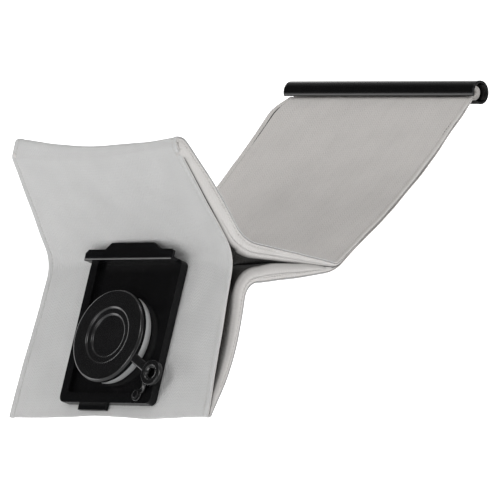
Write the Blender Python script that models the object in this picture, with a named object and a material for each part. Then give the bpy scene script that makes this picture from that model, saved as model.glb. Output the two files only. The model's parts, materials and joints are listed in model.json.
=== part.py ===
"""Reusable cloth filter bag for a dust extractor, on a plastic collar plate with a capped port.

The origin is the centre of the inlet port on the collar plate's front face. +X runs along the
bag's width, -Y is the port side, +Y runs back towards the closing rail, and +Z is up. The cloth
is one flat tube with side gussets, shown half unfolded: a lower and an upper pocket behind the
collar plate, a neck that runs back from them, and a tail that rises to the closing rail.
"""

import math

import bmesh
import bpy
from mathutils import Matrix, Vector

# Clearances and cloth
GAP = 0.0003  # between pieces that touch
CLOTH = 0.0012  # one layer
FOLD_GAP = 0.0025  # left open at a fold line between two sections that move
EDGE_TURN = 0.007  # between the outer faces of the two layers of a pocket at its closed edge
TAIL_DEPTH = 0.0065  # between the outer faces of the tail's two layers
SEAM_THICK = 0.002
SEAM_WIDE = 0.008
GUSSET_DEEP = 0.060  # how far a side gusset's fold reaches in from the seams

# Collar plate, in its own frame: X across, v up along the plate, n out of its front face
LEAN = math.radians(18.0)  # the plate leans back at the top
PLATE_LEFT, PLATE_RIGHT = -0.047, 0.058
PLATE_BOTTOM, PLATE_TOP = -0.054, 0.066
PLATE_THICK = 0.003
RIM_HIGH, RIM_WIDE = 0.0045, 0.008
CORNER = 0.005
PORT_R = 0.029
SPIGOT_R = 0.0315
SPIGOT_LONG = 0.014
BACKING_THICK = 0.002

# Seal, cap and tether
SEAL_R, SEAL_HIGH = 0.0372, 0.0073
CAP_R, CAP_FACE, CAP_SKIRT = 0.0388, 0.0125, 0.0077
PLUG_R, PLUG_LONG = 0.0262, 0.005
PULL_RING = (0.057, -0.030)
PULL_RING_R, PULL_HOLE_R = 0.0105, 0.0042
PULL_RING_LOW, PULL_RING_HIGH = 0.0064, 0.0104
POST = (0.043, -0.0485)
POST_R, POST_HEAD_R = 0.0016, 0.0036
STRAP_LOW, STRAP_HIGH = 0.0048, 0.0068

# Closing rail
RAIL_R, RAIL_INNER_R = 0.0100, 0.0078
SLOT_HALF_ANGLE = math.radians(28.0)
SLOT_FACES = math.radians(222.5)  # from +Y towards +Z
BEAD_R = 0.0063
RAIL_RIGHT = Vector((0.119, 0.3005, 0.2035))
RAIL_LEFT = Vector((-0.101, 0.3005, 0.2101))

# Fold lines of the cloth, each from its point on the right-hand seam to the one on the left
FRONT_CREASE = Vector((0.115, 0.016, 0.069)), Vector((-0.103, 0.021, 0.064))
TOP_EDGE = Vector((0.112, -0.044, 0.151)), Vector((-0.100, -0.021, 0.159))
BOTTOM_EDGE = Vector((0.119, -0.017, -0.0575)), Vector((-0.107, -0.021, -0.062))
UPPER_CREASE = Vector((0.117, 0.028, 0.081)), Vector((-0.105, 0.028, 0.081))
LOWER_CREASE = Vector((0.118, 0.031, 0.045)), Vector((-0.106, 0.031, 0.045))
NECK_END = Vector((0.119, 0.132, 0.062)), Vector((-0.107, 0.140, 0.064))
TAIL_SAG = 0.005
TOP_SAG = 0.006
POCKET_BELLY = 0.012

COLOURS = {  # base colour, roughness
    "cloth": ((0.52, 0.51, 0.50), 0.95),
    "seam": ((0.60, 0.59, 0.57), 0.9),
    "gusset": ((0.45, 0.44, 0.43), 0.95),
    "black": ((0.012, 0.012, 0.013), 0.25),
    "cap": ((0.022, 0.022, 0.023), 0.3),
    "seal": ((0.55, 0.56, 0.56), 0.5),
}


def mix(a, b, t):
    return a + (b - a) * t


def clear_scene():
    for obj in list(bpy.data.objects):
        bpy.data.objects.remove(obj, do_unlink=True)


def finish_mesh(bm, name, colour, smooth=False):
    """Turns a bmesh into a named object with outward faces and its own material."""
    bmesh.ops.recalc_face_normals(bm, faces=bm.faces)
    mesh = bpy.data.meshes.new(name)
    bm.to_mesh(mesh)
    bm.free()
    obj = bpy.data.objects.new(name, mesh)
    bpy.context.scene.collection.objects.link(obj)
    base, roughness = COLOURS[colour]
    material = bpy.data.materials.new(name)
    material.use_nodes = True
    shader = material.node_tree.nodes["Principled BSDF"]
    shader.inputs["Base Color"].default_value = (*base, 1.0)
    shader.inputs["Roughness"].default_value = roughness
    shader.inputs["Metallic"].default_value = 0.0
    mesh.materials.append(material)
    if smooth:
        mesh.shade_smooth()
        mesh.set_sharp_from_angle(angle=math.radians(35))
    return obj


# Cloth sections: a surface gives the outer face at u (0 at the left seam, 1 at the right) and t


def ruled(start, end):
    """A surface between two fold lines."""

    def at(u, t):
        return mix(mix(start[1], start[0], u), mix(end[1], end[0], u), t)

    return at


def plane_y(z, n):
    """Y of a point at height z, at distance n in front of the plate's front face."""
    return z * math.tan(LEAN) - n / math.cos(LEAN)


def lower_front(u, t):
    """Flat behind the plate, and drawn towards the two seams beside it."""
    p = ruled(FRONT_CREASE, BOTTOM_EDGE)(u, t)
    behind = -PLATE_THICK - GAP
    right, left = mix(FRONT_CREASE[0], BOTTOM_EDGE[0], t), mix(FRONT_CREASE[1], BOTTOM_EDGE[1], t)
    margin = 0.003
    to_right = max(0.0, (p.x - PLATE_RIGHT - margin) / (right.x - PLATE_RIGHT - margin))
    to_left = max(0.0, (PLATE_LEFT - margin - p.x) / (PLATE_LEFT - margin - left.x))
    y = plane_y(p.z, behind)
    y += (right.y - plane_y(right.z, behind)) * to_right**2
    y += (left.y - plane_y(left.z, behind)) * to_left**2
    return Vector((p.x, y, p.z))


def lower_back(u, t):
    """From the bottom edge up to the lower crease, with the cloth bellied out behind the port."""
    turn = Vector((0, EDGE_TURN, 0))
    start = BOTTOM_EDGE[0] + turn, BOTTOM_EDGE[1] + turn
    p = ruled(start, LOWER_CREASE)(u, t)
    hump = math.sin(math.pi * u) * math.sin(math.pi * min(1.0, t + 0.12))
    seam_bow = 0.009 * math.sin(math.pi * t)
    p.y += POCKET_BELLY * hump + seam_bow
    return p


def upper_front(u, t):
    """From the front crease up to the sagging top edge, leaning out over the plate."""
    crease = lower_front(u, 0.0)
    p = mix(crease, mix(TOP_EDGE[1], TOP_EDGE[0], u), t)
    p.z -= TOP_SAG * t * math.sin(math.pi * u)
    return p


def upper_back(u, t):
    """From the top edge down to the upper crease."""
    turn = Vector((0, EDGE_TURN, 0.002))
    p = mix(upper_front(u, 1.0) + turn, mix(UPPER_CREASE[1], UPPER_CREASE[0], u), t)
    p.y += 0.004 * math.sin(math.pi * t)
    return p


neck_top = ruled(UPPER_CREASE, NECK_END)


def neck_bottom(u, t):
    """Sags a little between the lower crease and the end of the neck."""
    under = Vector((0, 0, -TAIL_DEPTH - 0.001))
    end = NECK_END[0] + under, NECK_END[1] + under
    p = ruled(LOWER_CREASE, end)(u, t)
    p.z -= 0.003 * math.sin(math.pi * t)
    return p


def rail_centre(u):
    return mix(RAIL_LEFT, RAIL_RIGHT, u)


def tail_middle(u, t):
    """Mid-depth of the tail, from the neck's end to the bead."""
    start = mix(NECK_END[1], NECK_END[0], u) + Vector((0, 0.002, -TAIL_DEPTH / 2))
    end = rail_centre(0.03 + 0.94 * u)
    to_bead = (start - end).normalized() * (BEAD_R + 2 * GAP)
    p = mix(start, end + to_bead, t)
    p.z -= TAIL_SAG * math.sin(math.pi * t)
    return p


def tail_normal(u, t):
    step = 0.01
    along = tail_middle(u, min(1, t + step)) - tail_middle(u, max(0, t - step))
    return Vector((1, 0, 0)).cross(along).normalized()


def tail_front(u, t):
    return tail_middle(u, t) + tail_normal(u, t) * TAIL_DEPTH / 2


def tail_back(u, t):
    return tail_middle(u, t) - tail_normal(u, t) * TAIL_DEPTH / 2


def span(first, last, count):
    return [first + (last - first) * i / (count - 1) for i in range(count)]


COLUMNS = [0, 0.08, 0.16, 0.25, 0.4, 0.5, 0.6, 0.745, 0.83, 0.915, 1]


def grid_of(surface, ts, us=COLUMNS):
    return [[surface(u, t) for u in us] for t in ts]


def turned_edge(front_row, before_row, back_row, steps=5):
    """Half-round rows that carry a layer round a closed edge."""
    rows = []
    for i in range(1, steps):
        angle = math.pi * i / steps
        row = []
        for a, before, b in zip(front_row, before_row, back_row):
            centre = (a + b) / 2
            out = (a - before).normalized() * (a - b).length / 2
            row.append(centre + (a - centre) * math.cos(angle) + out * math.sin(angle))
        rows.append(row)
    return rows


def grid_normal(grid, i, j):
    rows, cols = len(grid), len(grid[0])
    along = grid[min(i + 1, rows - 1)][j] - grid[max(i - 1, 0)][j]
    across = grid[i][min(j + 1, cols - 1)] - grid[i][max(j - 1, 0)]
    return across.cross(along).normalized()


def inside_of(grid, side, depth=CLOTH):
    """The grid moved by depth along its normals; side is 1 or -1."""
    return [
        [p + grid_normal(grid, i, j) * depth * side for j, p in enumerate(row)]
        for i, row in enumerate(grid)
    ]


def shell(name, outer, inner, colour):
    """A closed solid between two grids of the same size."""
    bm = bmesh.new()
    rows, cols = len(outer), len(outer[0])
    a = [[bm.verts.new(p) for p in row] for row in outer]
    b = [[bm.verts.new(p) for p in row] for row in inner]
    for i in range(rows - 1):
        for j in range(cols - 1):
            bm.faces.new((a[i][j], a[i][j + 1], a[i + 1][j + 1], a[i + 1][j]))
            bm.faces.new((b[i][j], b[i + 1][j], b[i + 1][j + 1], b[i][j + 1]))
        for j in (0, cols - 1):
            bm.faces.new((a[i][j], a[i + 1][j], b[i + 1][j], b[i][j]))
    for j in range(cols - 1):
        for i in (0, rows - 1):
            bm.faces.new((a[i][j], b[i][j], b[i][j + 1], a[i][j + 1]))
    return finish_mesh(bm, name, colour, smooth=True)


def cloth_panel(name, surface, ts, side):
    outer = grid_of(surface, ts)
    return shell(name, outer, inside_of(outer, side), "cloth")


def pocket(name, front, back, front_ts, back_ts, side):
    """Front layer, closed edge and back layer of one pocket, as the single strip it is cut from."""
    front_grid, back_grid = grid_of(front, front_ts), grid_of(back, back_ts)
    turn = turned_edge(front_grid[-1], front_grid[-2], back_grid[0])
    outer = front_grid + turn + back_grid
    return shell(name, outer, inside_of(outer, side), "cloth")


def edge_u(side, inset):
    """u at a distance inset from the right (side 1) or left (side -1) seam."""
    share = inset / 0.22
    return 1 - share if side == 1 else share


def gusset(name, layer_a, layer_b, ts, side, depth_at):
    """A folded side gusset: two wings that meet in a fold between layers a and b."""
    mouth, folded = [], []
    for t_a, t_b in ts:
        deep = depth_at(t_a)
        stations = []
        for inset in (2 * GAP, deep / 2, deep):
            u = edge_u(side, SEAM_THICK + inset)
            stations.append((layer_a(u, t_a), layer_b(u, t_b)))
        (a, b), (a_half, b_half), (a_fold, b_fold) = stations
        way = (b - a).normalized()
        cover = way * (CLOTH + 3 * GAP)
        fold, beyond = (a_fold + b_fold) / 2, Vector((-side, 0, 0)) * CLOTH * 1.6
        wing_a, wing_b = mix(a_half, b_half, 0.32), mix(a_half, b_half, 0.68)
        thick = way * CLOTH
        folded.append([a + cover, wing_a - thick / 2, fold + beyond, wing_b + thick / 2, b - cover])
        mouth.append(
            [a + cover + thick, wing_a + thick / 2, fold, wing_b - thick / 2, b - cover - thick]
        )
    return shell(name, mouth, folded, "gusset")


def seam(name, layer, other, ts, side, widest=SEAM_WIDE):
    """A stitched seam band that faces outwards along a layer's edge, towards the other layer."""
    outer, inner = [], []
    for t, t_other in ts:
        edge, far = layer(edge_u(side, 0.0), t), other(edge_u(side, 0.0), t_other)
        way = (far - edge).normalized()
        clear = 1.4 * CLOTH + GAP
        wide = min(widest, (far - edge).length / 2 - clear)
        inset = layer(edge_u(side, SEAM_THICK), t) - edge
        first, last = edge + way * clear, edge + way * (clear + wide)
        outer.append([first, last])
        inner.append([first + inset, last + inset])
    return shell(name, outer, inner, "seam")


# Rigid pieces on the collar plate


def plate_frame():
    """From (x, v, n) on the plate to the bag's frame."""
    v_axis = Vector((0, math.sin(LEAN), math.cos(LEAN)))
    n_axis = Vector((0, -math.cos(LEAN), math.sin(LEAN)))
    m = Matrix.Identity(4)
    for row in range(3):
        m[row][0] = (1, 0, 0)[row]
        m[row][1] = v_axis[row]
        m[row][2] = n_axis[row]
    return m


def prism(name, outline, low, high, colour="black"):
    """An outline in x and v, extruded along n and placed on the plate."""
    bm = bmesh.new()
    face = bm.faces.new([bm.verts.new((x, v, low)) for x, v in outline])
    top = bmesh.ops.extrude_face_region(bm, geom=[face])["geom"]
    bmesh.ops.translate(
        bm, vec=(0, 0, high - low), verts=[g for g in top if isinstance(g, bmesh.types.BMVert)]
    )
    obj = finish_mesh(bm, name, colour, smooth=True)
    obj.matrix_world = plate_frame()
    return obj


def rounded_rectangle(left, right, bottom, top, radius, steps=4):
    points = []
    corners = (
        (right - radius, top - radius, 0),
        (left + radius, top - radius, 90),
        (left + radius, bottom + radius, 180),
        (right - radius, bottom + radius, 270),
    )
    for x, v, start in corners:
        for i in range(steps + 1):
            a = math.radians(start + 90 * i / steps)
            points.append((x + radius * math.cos(a), v + radius * math.sin(a)))
    return points


def circle(x, v, radius, sides):
    return [
        (x + radius * math.cos(2 * math.pi * i / sides), v + radius * math.sin(2 * math.pi * i / sides))
        for i in range(sides)
    ]


def boolean(obj, other, operation):
    other.hide_render = True
    other.display_type = "WIRE"
    modifier = obj.modifiers.new(operation.lower(), "BOOLEAN")
    modifier.object = other
    modifier.operation = operation
    return obj


def turned(name, profile, colour, sides=64):
    """A profile of (radius, n) turned about the port's axis."""
    bm = bmesh.new()
    rings = []
    for radius, n in profile:
        if radius == 0:
            rings.append([bm.verts.new((0, 0, n))])
            continue
        rings.append([bm.verts.new((x, v, n)) for x, v in circle(0, 0, radius, sides)])
    closed = profile[0][0] != 0
    pairs = list(zip(rings, rings[1:])) + ([(rings[-1], rings[0])] if closed else [])
    for one, two in pairs:
        for i in range(sides):
            k = (i + 1) % sides
            corners = [one[i % len(one)], one[k % len(one)], two[k % len(two)], two[i % len(two)]]
            bm.faces.new(list(dict.fromkeys(corners)))
    obj = finish_mesh(bm, name, colour, smooth=True)
    obj.matrix_world = plate_frame()
    return obj


def collar_plate():
    outline = rounded_rectangle(PLATE_LEFT, PLATE_RIGHT, PLATE_BOTTOM, PLATE_TOP, CORNER)
    plate = prism("collar_plate", outline, -PLATE_THICK, RIM_HIGH)
    tray = rounded_rectangle(
        PLATE_LEFT + RIM_WIDE,
        PLATE_RIGHT - RIM_WIDE,
        PLATE_BOTTOM + RIM_WIDE,
        PLATE_TOP + CORNER,
        CORNER / 2,
    )
    boolean(plate, prism("tray_cutter", tray, 0.0, 2 * RIM_HIGH), "DIFFERENCE")
    bar_left, bar_right, bar_face, bar_top = PLATE_LEFT, 0.054, 0.013, 0.072
    shelf = [
        (bar_left, PLATE_TOP - 0.003),
        (bar_right, PLATE_TOP - 0.003),
        (bar_right, PLATE_TOP),
        (bar_left, PLATE_TOP),
    ]
    boolean(plate, prism("shelf_part", shelf, -PLATE_THICK, bar_face - 0.001), "UNION")
    grip = [
        (bar_left, PLATE_TOP - 0.0032),
        (bar_right, PLATE_TOP - 0.0032),
        (bar_right, bar_top - 0.001),
        (bar_right - 0.002, bar_top),
        (0.040, bar_top),
        (0.030, bar_top + 0.0055),
        (-0.019, bar_top + 0.0055),
        (-0.025, bar_top),
        (bar_left + 0.003, bar_top),
        (bar_left, bar_top - 0.003),
    ]
    boolean(plate, prism("grip_part", grip, bar_face - 0.0025, bar_face), "UNION")
    tab_low = PLATE_BOTTOM - 0.005
    tab = [(-0.027, tab_low), (0.005, tab_low), (0.005, PLATE_BOTTOM + 0.003), (-0.027, PLATE_BOTTOM + 0.003)]
    boolean(plate, prism("tab_part", tab, -PLATE_THICK + 0.0005, 0.0005), "UNION")
    boolean(plate, prism("spigot_part", circle(0, 0, SPIGOT_R, 64), -SPIGOT_LONG, -0.001), "UNION")
    boolean(plate, prism("port_cutter", circle(0, 0, PORT_R, 64), -0.05, 0.02), "DIFFERENCE")
    boolean(plate, prism("post_cutter", circle(*POST, POST_R + GAP, 16), -0.05, 0.02), "DIFFERENCE")
    return plate


def weld_pins():
    """Places of the pins that join the backing plate through the cloth."""
    xs = (PLATE_LEFT + 0.008, (PLATE_LEFT + PLATE_RIGHT) / 2, PLATE_RIGHT - 0.008)
    vs = (PLATE_BOTTOM + 0.008, PLATE_TOP - 0.010)
    return [(x, v) for x in xs for v in vs]


def backing_plate():
    front = -PLATE_THICK - GAP - CLOTH - GAP
    outline = rounded_rectangle(
        PLATE_LEFT + 0.003, PLATE_RIGHT - 0.003, PLATE_BOTTOM + 0.003, PLATE_TOP - 0.004, CORNER
    )
    plate = prism("backing_plate", outline, front - BACKING_THICK, front)
    for i, (x, v) in enumerate(weld_pins()):
        pin = prism(f"pin_part_{i}", circle(x, v, 0.002, 12), front - 0.001, -PLATE_THICK - GAP)
        boolean(plate, pin, "UNION")
    bore = circle(0, 0, SPIGOT_R + GAP, 64)
    boolean(plate, prism("backing_cutter", bore, -0.05, 0.02), "DIFFERENCE")
    return plate


def seal_ring():
    lip_r = PLUG_R + 0.0008
    profile = [
        (SPIGOT_R, GAP),
        (SEAL_R, GAP),
        (SEAL_R, SEAL_HIGH - 0.001),
        (SEAL_R - 0.001, SEAL_HIGH),
        (lip_r, SEAL_HIGH),
        (lip_r, SEAL_HIGH - 0.0015),
        (SPIGOT_R, SEAL_HIGH - 0.0025),
    ]
    return turned("seal_ring", profile, "seal")


def port_cap():
    """Lid, raised ring and hollow plug in one moulding."""
    face, skirt = CAP_FACE, CAP_SKIRT
    profile = [
        (0, face - 0.0012),
        (0.0205, face - 0.0012),
        (0.0212, face + 0.0009),
        (0.0230, face + 0.0009),
        (0.0240, face - 0.0004),
        (CAP_R - 0.0012, face),
        (CAP_R, face - 0.0012),
        (CAP_R, skirt),
        (SEAL_R + GAP, skirt),
        (SEAL_R + GAP, face - 0.0025),
        (PLUG_R, face - 0.0025),
        (PLUG_R, -PLUG_LONG + 0.001),
        (PLUG_R - 0.001, -PLUG_LONG),
        (PLUG_R - 0.002, -PLUG_LONG),
        (PLUG_R - 0.002, face - 0.0035),
        (0, face - 0.0035),
    ]
    return turned("port_cap", profile, "cap")


def pull_ring():
    """Finger ring beside the cap with the neck that joins them."""
    x, v = PULL_RING
    ring = prism("pull_ring", circle(x, v, PULL_RING_R, 32), PULL_RING_LOW, PULL_RING_HIGH, "cap")
    toward = Vector((-x, -v)).normalized()
    aside = Vector((-toward.y, toward.x)) * 0.004
    centre = Vector((x, v))
    start, end = centre + toward * (PULL_RING_R - 0.003), toward * -(CAP_R + GAP)
    neck = [tuple(start + aside), tuple(end + aside), tuple(end - aside), tuple(start - aside)]
    boolean(ring, prism("neck_part", neck, CAP_SKIRT + 0.0005, CAP_SKIRT + 0.003, "cap"), "UNION")
    hole = circle(x, v, PULL_HOLE_R, 24)
    return boolean(ring, prism("pull_cutter", hole, 0.0, 0.03, "cap"), "DIFFERENCE")


def tether_post():
    """Mushroom post pressed through the plate's lower corner."""
    post = prism("tether_post", circle(*POST, POST_R, 16), -PLATE_THICK + GAP, STRAP_HIGH + 0.001)
    head = circle(*POST, POST_HEAD_R, 20)
    head = prism("post_head_part", head, STRAP_HIGH + GAP, STRAP_HIGH + 0.0015)
    return boolean(post, head, "UNION")


def tether_strap():
    """Flat strap from the pull ring to an eye round the post."""
    ring, post = Vector(PULL_RING), Vector(POST)
    toward = (post - ring).normalized()
    aside = Vector((-toward.y, toward.x)) * 0.0025
    start, end = ring + toward * (PULL_RING_R + GAP), post - toward * 0.003
    outline = [tuple(start + aside), tuple(start - aside), tuple(end - aside), tuple(end + aside)]
    strap = prism("tether_strap", outline, STRAP_LOW, STRAP_HIGH, "cap")
    eye = circle(*POST, 0.0052, 24)
    boolean(strap, prism("eye_part", eye, STRAP_LOW - 0.0001, STRAP_HIGH + 0.0001, "cap"), "UNION")
    near, far, half = start + toward * 0.0002, start + toward * 0.002, aside * 0.9
    riser = [tuple(near + half), tuple(near - half), tuple(far - half), tuple(far + half)]
    boolean(strap, prism("riser_part", riser, STRAP_LOW + 0.0002, PULL_RING_HIGH, "cap"), "UNION")
    hole = circle(*POST, POST_R + GAP, 20)
    return boolean(strap, prism("eye_cutter", hole, -0.01, 0.02, "cap"), "DIFFERENCE")


# Closing rail and the bead it slides on


def rail_section(angles, radius):
    return [(radius * math.cos(a), radius * math.sin(a)) for a in angles]


def along_rail(name, section, start, end, colour):
    """A section in Y and Z, extruded between two points of the rail's line."""
    bm = bmesh.new()
    rings = [[bm.verts.new(p + Vector((0, y, z))) for y, z in section] for p in (start, end)]
    count = len(section)
    for i in range(count):
        k = (i + 1) % count
        bm.faces.new((rings[0][i], rings[0][k], rings[1][k], rings[1][i]))
    for ring in rings:
        bm.faces.new(ring)
    return finish_mesh(bm, name, colour, smooth=True)


def closing_rail():
    first = SLOT_FACES + SLOT_HALF_ANGLE
    last = SLOT_FACES - SLOT_HALF_ANGLE + 2 * math.pi
    angles = span(first, last, 33)
    section = rail_section(angles, RAIL_R) + rail_section(angles[::-1], RAIL_INNER_R)
    return along_rail("closing_rail", section, RAIL_LEFT, RAIL_RIGHT, "black")


def tail_bead():
    angles = span(0, 2 * math.pi, 25)[:-1]
    section = rail_section(angles, BEAD_R)
    return along_rail("tail_bead", section, rail_centre(0.02), rail_centre(0.98), "seam")


def cut_cloth_for_collar(cloth):
    hole = prism("cloth_port_cutter", circle(0, 0, SPIGOT_R + GAP, 64), -0.008, 0.005)
    boolean(cloth, hole, "DIFFERENCE")
    for i, (x, v) in enumerate(weld_pins()):
        pin = prism(f"cloth_pin_cutter_{i}", circle(x, v, 0.0023, 12), -0.008, 0.005)
        boolean(cloth, pin, "DIFFERENCE")


def pairs(first, last, count, other_first, other_last):
    """Matching stations on two layers."""
    return list(zip(span(first, last, count), span(other_first, other_last, count)))


def cloth():
    trim = FOLD_GAP / 0.14
    lower = pocket(
        "lower_pocket_cloth", lower_front, lower_back,
        span(trim, 1, 7), span(0, 1 - 0.025, 7), 1,
    )
    cut_cloth_for_collar(lower)
    pocket(
        "upper_pocket_cloth", upper_front, upper_back,
        span(trim, 1, 6), span(0, 1 - trim, 6), -1,
    )
    cloth_panel("neck_top_cloth", neck_top, span(trim, 1 - trim, 6), -1)
    cloth_panel("neck_bottom_cloth", neck_bottom, span(0.02, 1 - 0.02, 6), 1)
    cloth_panel("tail_front_cloth", tail_front, span(0.01, 1, 9), -1)
    cloth_panel("tail_back_cloth", tail_back, span(0.01, 1, 9), 1)


def gussets_and_seams():
    for side, hand in ((1, "right"), (-1, "left")):
        in_lower = pairs(0.93, 0.15, 7, 0.10, 0.93)
        in_upper = pairs(0.90, 0.12, 6, 0.10, 0.90)
        in_neck = pairs(0.06, 0.95, 6, 0.06, 0.95)
        in_tail = pairs(0.03, 0.98, 8, 0.03, 0.98)
        gusset(f"lower_gusset_{hand}", lower_front, lower_back, in_lower, side,
               lambda t: 0.012 + (GUSSET_DEEP - 0.012) * (0.93 - t) / 0.78)
        gusset(f"upper_gusset_{hand}", upper_front, upper_back, in_upper, side,
               lambda t: 0.010 + (GUSSET_DEEP - 0.010) * (0.90 - t) / 0.78)
        gusset(f"neck_gusset_{hand}", neck_top, neck_bottom, in_neck, side, lambda t: GUSSET_DEEP)
        gusset(f"tail_gusset_{hand}", tail_front, tail_back, in_tail, side, lambda t: GUSSET_DEEP)
        back_up = pairs(0.02, 0.91, 8, 0.97, 0.09)
        seam(f"lower_seam_{hand}", lower_back, lower_front, back_up, side)
        back_down = pairs(0.02, 0.95, 7, 0.98, 0.06)
        seam(f"upper_seam_{hand}", upper_back, upper_front, back_down, side)
        neck_strip, tail_strip = pairs(0.04, 0.97, 6, 0.04, 0.97), pairs(0.02, 0.98, 8, 0.02, 0.98)
        seam(f"neck_seam_top_{hand}", neck_top, neck_bottom, neck_strip, side)
        seam(f"neck_seam_bottom_{hand}", neck_bottom, neck_top, neck_strip, side)
        seam(f"tail_seam_front_{hand}", tail_front, tail_back, tail_strip, side, CLOTH)
        seam(f"tail_seam_back_{hand}", tail_back, tail_front, tail_strip, side, CLOTH)


def on_axis(name, place, prefixes, parent=None):
    """Parents the pieces that move together to an empty on their joint's axis."""
    empty = bpy.data.objects.new(name, None)
    empty.location = place
    bpy.context.scene.collection.objects.link(empty)
    children = [
        obj for obj in bpy.data.objects if obj.type == "MESH" and obj.name.startswith(prefixes)
        and not obj.hide_render
    ]
    for obj in children:
        obj.parent = empty
        obj.matrix_parent_inverse = Matrix.Translation(-Vector(place))
    if parent:
        empty.parent = parent
        empty.matrix_parent_inverse = Matrix.Translation(-parent.location)
    return empty


def group_moving_pieces():
    crease = (UPPER_CREASE[0] + UPPER_CREASE[1]) / 2
    neck_end = (NECK_END[0] + NECK_END[1]) / 2
    on_axis("upper_pocket_axis", crease, ("upper_",))
    neck = on_axis("neck_axis", crease, ("neck_",))
    tail = on_axis("tail_axis", neck_end, ("tail_",), neck)
    on_axis("rail_axis", rail_centre(0.5), ("closing_rail",), tail)
    on_axis("cap_axis", Vector((0, 0, 0)), ("port_cap", "pull_ring", "tether_strap"))


def main():
    clear_scene()
    cloth()
    gussets_and_seams()
    collar_plate()
    backing_plate()
    seal_ring()
    port_cap()
    pull_ring()
    tether_post()
    tether_strap()
    closing_rail()
    tail_bead()
    group_moving_pieces()


main()
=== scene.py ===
"""Looks of the reusable cloth filter bag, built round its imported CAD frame.

The cloth is one strip that runs in a loop: down the tail's front layer from the closing rail, along
the top of the neck, up the back of the upper pocket, over the top edge, down the front, round the
bottom edge, up the back of the lower pocket, and back under the neck and the tail to the rail.
Side strips close it to the left and right: each is a seam wall along an edge and a wing that
folds in between the layers. Everything is in metres, in the CAD's own frame.
"""

import json
import math

import bmesh
import bpy
import numpy as np
from mathutils import Matrix, Vector, noise


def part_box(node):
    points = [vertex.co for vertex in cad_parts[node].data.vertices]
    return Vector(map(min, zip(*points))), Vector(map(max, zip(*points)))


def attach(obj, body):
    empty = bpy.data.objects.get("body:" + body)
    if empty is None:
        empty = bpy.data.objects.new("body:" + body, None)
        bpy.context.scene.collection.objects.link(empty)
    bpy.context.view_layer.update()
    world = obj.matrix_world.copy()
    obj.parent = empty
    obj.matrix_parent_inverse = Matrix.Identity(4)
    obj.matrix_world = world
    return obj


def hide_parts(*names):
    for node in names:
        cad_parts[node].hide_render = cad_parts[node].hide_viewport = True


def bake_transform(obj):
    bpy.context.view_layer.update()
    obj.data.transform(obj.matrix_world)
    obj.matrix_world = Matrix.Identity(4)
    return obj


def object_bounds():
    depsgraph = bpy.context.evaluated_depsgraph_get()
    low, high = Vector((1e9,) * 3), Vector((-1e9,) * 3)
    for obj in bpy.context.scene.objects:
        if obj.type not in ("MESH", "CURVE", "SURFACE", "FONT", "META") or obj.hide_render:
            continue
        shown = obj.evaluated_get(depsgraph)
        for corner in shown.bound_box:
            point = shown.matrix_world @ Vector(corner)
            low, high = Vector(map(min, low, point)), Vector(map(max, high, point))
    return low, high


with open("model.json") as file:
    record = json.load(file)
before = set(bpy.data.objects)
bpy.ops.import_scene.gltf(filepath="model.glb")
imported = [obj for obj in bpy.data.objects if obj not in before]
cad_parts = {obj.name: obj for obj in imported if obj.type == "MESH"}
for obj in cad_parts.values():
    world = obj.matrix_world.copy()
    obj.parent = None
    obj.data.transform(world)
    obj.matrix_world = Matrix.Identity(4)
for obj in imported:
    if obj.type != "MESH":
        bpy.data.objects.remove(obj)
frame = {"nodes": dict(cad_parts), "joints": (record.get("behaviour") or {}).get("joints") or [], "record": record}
CAD_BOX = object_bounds()

# Cloth
CLOTH = 0.0008
STEP = 0.0035  # between rows of the cloth's mesh
HEM = 0.0048  # from a side edge to its line of stitches
HEM_PUFF = 0.00045
TOP_SAG = 0.0065
FIELD_COLUMNS = 40  # between the two hems
WING_DEEP = 0.034
SLIT = 0.0031  # between a pocket's front edge and the wall behind it
WING_START = 0.020  # a wing's coordinate across the strip where it leaves the wall and the painted fold shade begins
RIGHT, LEFT = 1, -1

# Camera: it looks from the right of the port, from just below
AZIMUTH = math.radians(45.0)
ELEVATION = math.radians(-0.7)
DISTANCE = 4.0
LENS, SENSOR = 360.0, 36.0
AIM_RIGHT, AIM_UP = 0.1058, 0.0717  # of the port's centre

FLOOR_BELOW = 0.30
SIDES = ((RIGHT, "right"), (LEFT, "left"))
EDGE = {RIGHT: -1, LEFT: 0}  # the column of the cloth's mesh at each side


def coordinates(node):
    return np.array([v.co for v in frame["nodes"][node].data.vertices], float)


def corner(node, *toward):
    """The vertex of a CAD node that lies farthest towards a direction."""
    co = coordinates(node)
    return co[(co @ np.array(toward, float)).argmax()]


def end_of(node, side):
    """Middle of a CAD node's right or left end."""
    co = coordinates(node)
    x = co[:, 0] * side
    return co[x > x.max() - 0.001].mean(0)


def unit(v):
    return v / np.maximum(np.linalg.norm(v, axis=-1, keepdims=True), 1e-12)


def smooth_step(x):
    x = np.clip(x, 0.0, 1.0)
    return x * x * (3 - 2 * x)


def joint(name):
    return next(j for j in frame["joints"] if j["name"] == name)


# The collar's own frame: x across, v up along the plate, n out of its front face
PLATE_N = np.array(next(m["axis"] for m in frame["record"]["mounts"] if m["name"] == "collar_holder"))
PLATE_V = np.array([0.0, PLATE_N[2], -PLATE_N[1]])
PLATE_X = np.array([1.0, 0.0, 0.0])
PLATE_MATRIX = Matrix([[PLATE_X[i], PLATE_V[i], PLATE_N[i], 0.0] for i in range(3)] + [[0, 0, 0, 1]])


def reach(node, way):
    """Least and greatest distance of a CAD node's vertices along a direction."""
    along = coordinates(node) @ np.array(way, float)
    return along.min(), along.max()


PLATE_LEFT, PLATE_RIGHT = reach("collar_plate", PLATE_X)
GRIP_LOW = 0.0628  # the bar's lower front edge, up from the port's centre
BEHIND_PLATE = 0.0033  # the cloth's front face, under the plate
PORT_HOLE = 0.034  # radius cut out of the cloth round the port's axis


# Materials


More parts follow.
